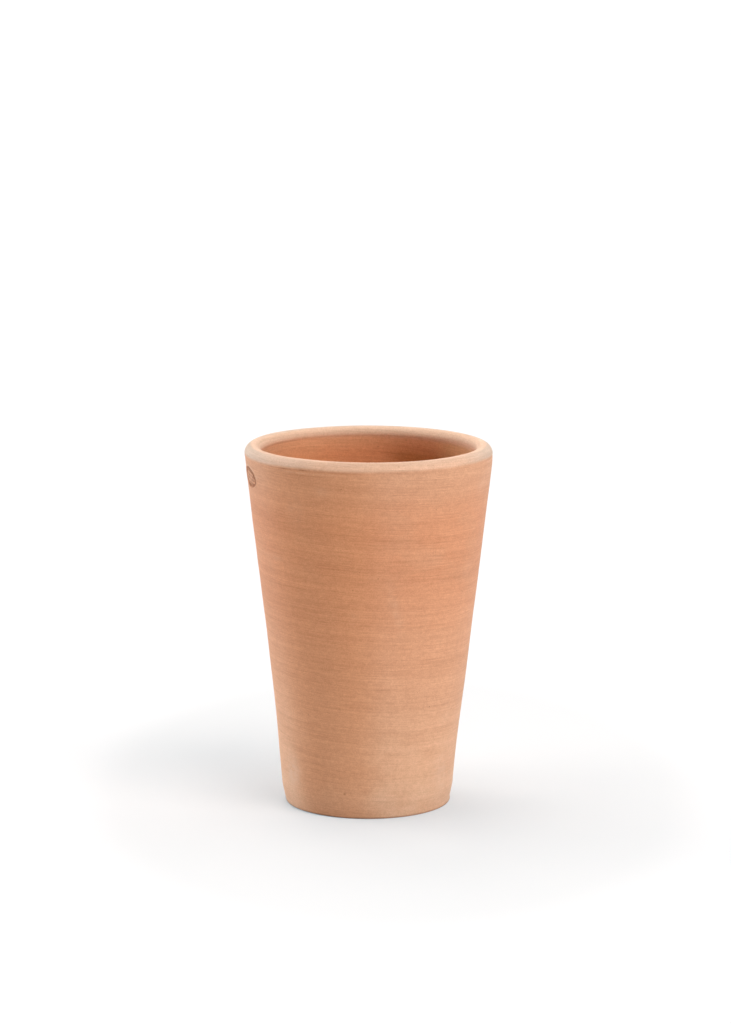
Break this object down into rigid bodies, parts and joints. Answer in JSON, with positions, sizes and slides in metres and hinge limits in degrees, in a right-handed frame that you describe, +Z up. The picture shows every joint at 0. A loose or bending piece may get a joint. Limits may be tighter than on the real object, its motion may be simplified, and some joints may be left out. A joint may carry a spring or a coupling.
{
  "type": "plant pot",
  "caption": "Tall tapered unglazed terracotta plant pot with a round lip, a floor slab with a drain hole, and a low foot ring.",
  "frame": {"origin": "on the pot's axis, at the bottom of the foot ring that it stands on", "axes": "+Z up along the pot's axis, -Y the side that faces the camera in the picture, +X to the right"},
  "size_m": [0.3, 0.3, 0.441],
  "materials": {
    "terracotta_wall": "matt unglazed clay with fine turning lines and a little lime bloom",
    "terracotta_lip": "matt unglazed clay, paler where it was wiped smooth",
    "terracotta_inside": "matt unglazed clay, warmer and less weathered than the outside"
  },
  "bodies": {
    "root": {"wall": "terracotta_wall", "rim_collar": "terracotta_lip", "floor_slab": "terracotta_inside", "corner_coil": "terracotta_inside"}
  },
  "joints": []
}
